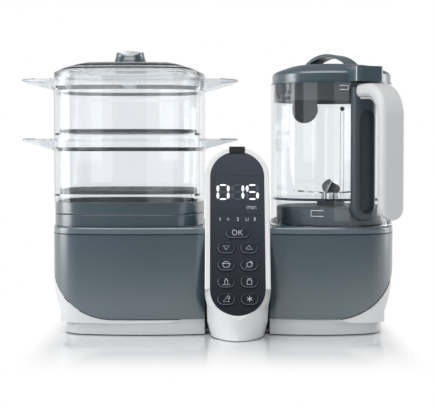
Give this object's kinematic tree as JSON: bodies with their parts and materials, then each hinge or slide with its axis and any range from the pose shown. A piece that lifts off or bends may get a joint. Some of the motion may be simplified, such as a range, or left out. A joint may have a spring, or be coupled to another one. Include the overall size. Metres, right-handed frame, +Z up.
{
  "type": "baby food maker",
  "caption": "Countertop baby food maker: stacked clear steaming baskets beside a blender jug on one base, with a leaning push-button panel between them.",
  "frame": {"origin": "on the table, under the middle of the whole outline", "axes": "+X from the steamer to the blender, +Y from the panel to the back, +Z up"},
  "size_m": [0.3924, 0.2272, 0.2914],
  "materials": {
    "white_plastic": "smooth gloss moulding",
    "slate_plastic": "satin moulding",
    "clear_plastic": "clear polished moulding",
    "dark_plastic": "dark satin moulding",
    "smoked_window": "smoked gloss window",
    "black_plastic": "black gloss",
    "pale_grip": "soft pale grey",
    "rubber": "dark rubber",
    "steel": "brushed",
    "painted_steel": "painted",
    "circuit_board": "coated board"
  },
  "bodies": {
    "base": {"base_pan": "white_plastic", "rubber_feet": "rubber", "base_screws": "steel", "left_cradle": "white_plastic", "right_cradle": "white_plastic", "left_housing": "slate_plastic", "right_housing": "slate_plastic", "centre_column": "slate_plastic", "left_deck": "slate_plastic", "right_deck": "slate_plastic", "boiler_basin": "steel", "basin_seal": "rubber", "heating_plate": "steel", "heater_ring": "steel", "thermostat": "dark_plastic", "motor_can": "painted_steel", "motor_bearings": "steel", "cord_inlet": "dark_plastic", "power_board": "circuit_board", "panel_stand": "white_plastic", "panel_bezel": "white_plastic", "panel_back": "slate_plastic", "panel_facia": "dark_plastic", "display_window": "smoked_window", "panel_board": "circuit_board", "panel_clip": "black_plastic"},
    "rotor": {"motor_rotor": "steel", "cooling_fan": "dark_plastic", "drive_coupling": "dark_plastic"},
    "collector": {"juice_collector": "slate_plastic", "steam_chimney": "slate_plastic", "collector_ring": "slate_plastic"},
    "basket_low": {"lower_basket": "clear_plastic"},
    "tray_low": {"lower_tray": "dark_plastic"},
    "basket_high": {"upper_basket": "clear_plastic"},
    "tray_high": {"upper_tray": "dark_plastic"},
    "steam_cover": {"steam_lid": "clear_plastic", "steam_lid_knob": "slate_plastic", "steam_knob_cap": "white_plastic"},
    "jug": {"jug_body": "clear_plastic", "handle_column": "slate_plastic", "handle_grip": "white_plastic", "handle_liner": "pale_grip", "blade_holder": "slate_plastic", "blade_seal": "rubber"},
    "blade_set": {"blade_hub": "steel", "blades": "steel", "driven_coupling": "dark_plastic"},
    "jug_cover": {"jug_lid": "slate_plastic", "lid_skirt": "dark_plastic", "jug_lid_knob": "slate_plastic"},
    "ok_key": {"ok_button": "dark_plastic"},
    "warm_key": {"warm_button": "dark_plastic"},
    "frost_key": {"frost_button": "dark_plastic"},
    "bottle_key": {"bottle_button": "dark_plastic"},
    "jar_key": {"jar_button": "dark_plastic"},
    "steam_key": {"steam_button": "dark_plastic"},
    "pot_key": {"pot_button": "dark_plastic"},
    "down_key": {"down_button": "dark_plastic"},
    "up_key": {"up_button": "dark_plastic"}
  },
  "joints": [
    {"name": "collector_lift", "type": "slide", "parent": "base", "child": "collector", "axis": [0, 0, 1], "range_m": [0, 0.08]},
    {"name": "lower_basket_lift", "type": "slide", "parent": "collector", "child": "basket_low", "axis": [0, 0, 1], "range_m": [0, 0.08]},
    {"name": "lower_tray_lift", "type": "slide", "parent": "basket_low", "child": "tray_low", "axis": [0, 0, 1], "range_m": [0, 0.045]},
    {"name": "upper_basket_lift", "type": "slide", "parent": "basket_low", "child": "basket_high", "axis": [0, 0, 1], "range_m": [0, 0.08]},
    {"name": "upper_tray_lift", "type": "slide", "parent": "basket_high", "child": "tray_high", "axis": [0, 0, 1], "range_m": [0, 0.045]},
    {"name": "steam_lid_lift", "type": "slide", "parent": "basket_high", "child": "steam_cover", "axis": [0, 0, 1], "range_m": [0, 0.08]},
    {"name": "jug_lift", "type": "slide", "parent": "base", "child": "jug", "axis": [0, 0, 1], "range_m": [0, 0.12]},
    {"name": "jug_lid_lift", "type": "slide", "parent": "jug", "child": "jug_cover", "axis": [0, 0, 1], "range_m": [0, 0.08]},
    {"name": "motor_spin", "type": "hinge", "parent": "base", "child": "rotor", "pos_m": [0.1319, 0.00162, 0.06], "axis": [0, 0, 1], "continuous": true},
    {"name": "blade_spin", "type": "hinge", "parent": "jug", "child": "blade_set", "pos_m": [0.1319, 0.00162, 0.1353], "axis": [0, 0, 1], "continuous": true},
    {"name": "ok_press", "type": "slide", "parent": "base", "child": "ok_key", "axis": [0, 0.9272, -0.3746], "range_m": [0, 0.0008], "stiffness_N_per_m": 800},
    {"name": "warm_press", "type": "slide", "parent": "base", "child": "warm_key", "axis": [0, 0.9272, -0.3746], "range_m": [0, 0.0008], "stiffness_N_per_m": 800},
    {"name": "frost_press", "type": "slide", "parent": "base", "child": "frost_key", "axis": [0, 0.9272, -0.3746], "range_m": [0, 0.0008], "stiffness_N_per_m": 800},
    {"name": "bottle_press", "type": "slide", "parent": "base", "child": "bottle_key", "axis": [0, 0.9272, -0.3746], "range_m": [0, 0.0008], "stiffness_N_per_m": 800},
    {"name": "jar_press", "type": "slide", "parent": "base", "child": "jar_key", "axis": [0, 0.9272, -0.3746], "range_m": [0, 0.0008], "stiffness_N_per_m": 800},
    {"name": "steam_press", "type": "slide", "parent": "base", "child": "steam_key", "axis": [0, 0.9272, -0.3746], "range_m": [0, 0.0008], "stiffness_N_per_m": 800},
    {"name": "pot_press", "type": "slide", "parent": "base", "child": "pot_key", "axis": [0, 0.9272, -0.3746], "range_m": [0, 0.0008], "stiffness_N_per_m": 800},
    {"name": "down_press", "type": "slide", "parent": "base", "child": "down_key", "axis": [0, 0.9272, -0.3746], "range_m": [0, 0.0008], "stiffness_N_per_m": 800},
    {"name": "up_press", "type": "slide", "parent": "base", "child": "up_key", "axis": [0, 0.9272, -0.3746], "range_m": [0, 0.0008], "stiffness_N_per_m": 800}
  ],
  "couplings": [
    {"joint": "blade_spin", "follows": "motor_spin", "ratio": 1}
  ]
}
